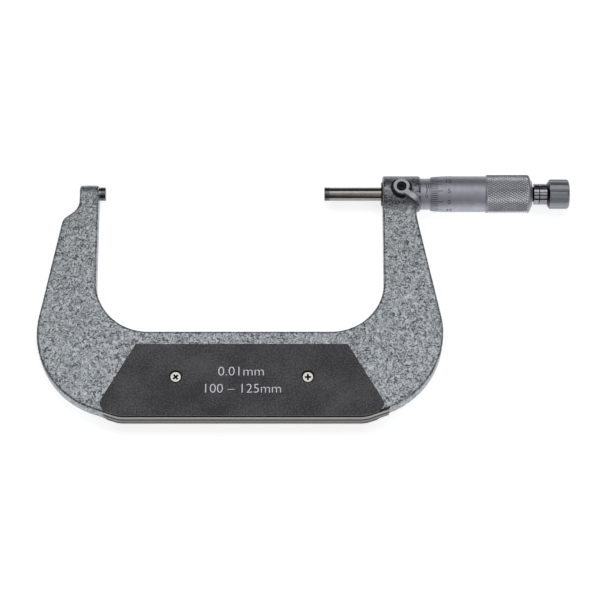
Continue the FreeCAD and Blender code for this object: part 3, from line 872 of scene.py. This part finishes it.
# rows of lines across the axis, in the flat layout: whole ones above the datum line, half ones below it,
# and every fifth whole one crossing it down to its number
def graduationTree(sizes, material):
    tree, given = newTree("sleeveLines", sizes)
    index = addNode(tree, "GeometryNodeInputIndex").outputs[0]
    isFifth = calc(tree, "LESS_THAN", calc(tree, "MODULO", index, given["Long Every"]), 0.5)
    crossing = calc(tree, "MULTIPLY", isFifth, given["Fifth Drop"])
    line = addNode(tree, "GeometryNodeMeshCube", {"Vertices Y": 9}).outputs["Mesh"]
    joined = addNode(tree, "GeometryNodeJoinGeometry")
    rows = (
        (given["Whole Count"], 0.0, given["Full Angle"], crossing),
        (given["Half Count"], 0.5, 0.0, given["Half Angle"]),
    )
    for count, shift, above, below in rows:
        angle = calc(tree, "ADD", above, below)
        points = addNode(tree, "GeometryNodePoints", {"Count": count}).outputs[0]
        along = calc(tree, "MULTIPLY", calc(tree, "ADD", index, shift), given["Pitch"])
        place = addNode(tree, "ShaderNodeCombineXYZ", {
            "X": calc(tree, "ADD", given["Zero X"], along),
            "Y": calc(tree, "MULTIPLY", calc(tree, "SUBTRACT", above, below), 0.5),
            "Z": given["Lift"],
        }).outputs[0]
        placed = addNode(tree, "GeometryNodeSetPosition", {
            "Geometry": points,
            "Position": place,
        }).outputs[0]
        scale = addNode(tree, "ShaderNodeCombineXYZ", {
            "X": given["Line Width"],
            "Y": angle,
            "Z": given["Line Height"],
        }).outputs[0]
        lines = addNode(tree, "GeometryNodeInstanceOnPoints", {
            "Points": placed,
            "Instance": line,
            "Scale": scale,
        }).outputs[0]
        tree.links.new(lines, joined.inputs[0])
    datumLength = calc(tree, "SUBTRACT", given["Datum End"], given["Datum Start"])
    datum = addNode(tree, "GeometryNodeMeshCube", {
        "Size": addNode(tree, "ShaderNodeCombineXYZ", {
            "X": datumLength,
            "Y": calc(tree, "DIVIDE", given["Line Width"], given["Front Radius"]),
            "Z": given["Line Height"],
        }).outputs[0],
    }).outputs["Mesh"]
    datumPlace = addNode(tree, "ShaderNodeCombineXYZ", {
        "X": calc(tree, "ADD", given["Datum Start"], calc(tree, "MULTIPLY", datumLength, 0.5)),
        "Z": given["Lift"],
    }).outputs[0]
    datumLine = addNode(tree, "GeometryNodeTransform", {"Geometry": datum, "Translation": datumPlace})
    tree.links.new(datumLine.outputs[0], joined.inputs[0])
    tree.links.new(given["Geometry"], joined.inputs[0])
    endTree(tree, joined.outputs[0], material)
    return tree


def sleeveScale(size):
    radius = size["radius"]
    drop = size["fifthDrop"] + size["digitGap"] + size["digitHeight"] / 2
    places = []
    for number in range(0, size["length"] + 1, size["numberEvery"]):
        digits = letteringMesh(str(number), size["digitHeight"], size["lineHeight"])
        digits.transform(Matrix.Diagonal((mm, 1 / radius, mm, 1)))
        places.append((digits, ((size["zero"] + number) * mm, -drop / radius, 0)))
    layout = joinLettering("sleeveNumbers", places, size["bendStep"] / radius)
    layout.transform(Matrix.Translation((0, 0, (size["proud"] - size["lineHeight"] / 2) * mm)))
    sizes = {
        "Whole Count": size["length"] + 1,
        "Half Count": size["length"],
        "Long Every": size["numberEvery"],
        "Pitch": mm,
        "Zero X": size["zero"] * mm,
        "Full Angle": size["fullLine"] / radius,
        "Fifth Drop": size["fifthDrop"] / radius,
        "Half Angle": size["halfLine"] / radius,
        "Line Width": size["lineWidth"] * mm,
        "Line Height": size["lineHeight"] * mm,
        "Lift": (size["proud"] - size["lineHeight"] / 2) * mm,
        "Datum Start": size["datumStart"] * mm,
        "Datum End": (size["zero"] + size["length"] + size["datumPast"]) * mm,
        "Front X": size["zero"] * mm,
        "Back X": (size["zero"] + size["length"]) * mm,
        "Front Radius": radius * mm,
        "Back Radius": radius * mm,
    }
    return bakeTree(newPiece("sleeveScale", layout), graduationTree(sizes, scaleInk), sizes)


graduations = sleeveScale(sleeveSizes)
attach(graduations, "sleeve")
print("sleeve scale done")


# Printing on the front plate.

printSizes = {  # each line's words, middle x and y, width and height
    "graduation": ("0.01mm", 64.0, -89.9, 20.6, 4.2),
    "range": ("100 \u2013 125mm", 65.0, -98.1, 34.2, 4.2),
    "thickness": 0.03,
    "thinning": -0.012,
}


def platePrint(size):
    face = boxOf("front_plate")[1].z
    places = []
    for key in ("graduation", "range"):
        words, x, y, width, height = size[key]
        lettering = letteringMesh(words, height, size["thickness"], width, size["thinning"])
        lettering.transform(Matrix.Scale(mm, 4))
        places.append((lettering, (x * mm, y * mm, face * mm)))
    piece = newPiece("platePrint", joinLettering("platePrint", places))
    piece.data.materials.append(plateInk)
    return piece


printing = platePrint(printSizes)
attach(printing, "frame")
print("plate printing done")


# Floor, light and camera.

stageLook = {
    "floorSize": 3.0,
    "floorColour": shade(236, 236, 237),
    "floorLight": shade(240, 240, 241),
    "floorGlow": 0.72,
    "worldSky": (0.11, 0.11, 0.115, 1.0),
    "worldHorizon": (0.02, 0.02, 0.022, 1.0),
    "worldStrength": 1.0,
}


def makeFloor(look):
    half = look["floorSize"] / 2
    low = cadBox[0]
    centre = (cadBox[0] + cadBox[1]) / 2
    mesh = bpy.data.meshes.new("floor")
    turns = ((-1, -1), (1, -1), (1, 1), (-1, 1))
    corners = [(centre.x + x * half, centre.y + y * half, low.z) for x, y in turns]
    mesh.from_pydata(corners, [], [(0, 1, 2, 3)])
    floor = newPiece("floor", mesh)
    material, tree, shader = newFinish("paleFloor")
    paper = addNoise(tree, 2.0, detail=3.0)
    colour = addRamp(tree, paper, [(0.3, look["floorColour"]), (0.7, look["floorLight"])])
    tree.links.new(colour, shader.inputs["Base Color"])
    shader.inputs["Roughness"].default_value = 0.7
    shader.inputs["Specular IOR Level"].default_value = 0.1
    shader.inputs["Emission Color"].default_value = (1, 1, 1, 1)
    shader.inputs["Emission Strength"].default_value = look["floorGlow"]
    mesh.materials.append(material)


def makeWorld(look):
    world = bpy.data.worlds.new("studio")
    bpy.context.scene.world = world
    world.use_nodes = True
    tree = world.node_tree
    direction = addNode(tree, "ShaderNodeTexCoord").outputs["Generated"]
    height = addNode(tree, "ShaderNodeSeparateXYZ", {"Vector": direction}).outputs["Z"]
    sky = addRamp(tree, height, [
        (0.0, look["worldHorizon"]),
        (0.25, look["worldHorizon"]),
        (0.6, look["worldSky"]),
    ])
    background = tree.nodes["Background"]
    tree.links.new(sky, background.inputs["Color"])
    background.inputs["Strength"].default_value = look["worldStrength"]


# each softbox: angle from overhead towards +Y, side angle towards +X, distance, width, depth, power
softBoxes = {
    "overhead": (16, 0, 0.9, 1.2, 0.4, 2.5),
    "middle": (-16, 0, 1.4, 1.2, 0.5, 1.6),
    "front": (-50, 30, 0.9, 0.75, 0.5, 0.7),
}


def makeLights(boxes):
    centre = (cadBox[0] + cadBox[1]) / 2
    for name, (lean, side, distance, width, depth, power) in boxes.items():
        light = bpy.data.lights.new(name, "AREA")
        light.shape = "RECTANGLE"
        light.size = width
        light.size_y = depth
        light.energy = power
        lamp = bpy.data.objects.new(name, light)
        bpy.context.scene.collection.objects.link(lamp)
        side, lean = math.radians(side), math.radians(lean)
        away = Vector((math.sin(side), math.sin(lean), math.cos(lean)))
        away.normalize()
        lamp.location = centre + away * distance
        lamp.rotation_euler = away.to_track_quat("Z", "Y").to_euler()


cameraLook = {
    "lens": 150,
    "elevation": 69,
    "distance": 1.15,
    "aim": Vector((-0.0027, -0.0020, 0)),  # from the middle of the object's box
}


def makeCamera(look):
    data = bpy.data.cameras.new("camera")
    data.lens = look["lens"]
    data.sensor_width = 36
    data.clip_start = 0.05
    camera = bpy.data.objects.new("camera", data)
    bpy.context.scene.collection.objects.link(camera)
    target = (cadBox[0] + cadBox[1]) / 2 + look["aim"]
    target.z = 0
    tilt = math.radians(90 - look["elevation"])
    camera.location = target + Vector((0, -math.sin(tilt), math.cos(tilt))) * look["distance"]
    camera.rotation_euler = (tilt, 0, 0)
    bpy.context.scene.camera = camera


makeFloor(stageLook)
makeWorld(stageLook)
makeLights(softBoxes)
makeCamera(cameraLook)
bpy.context.scene.view_settings.view_transform = "Standard"
print("stage ready")
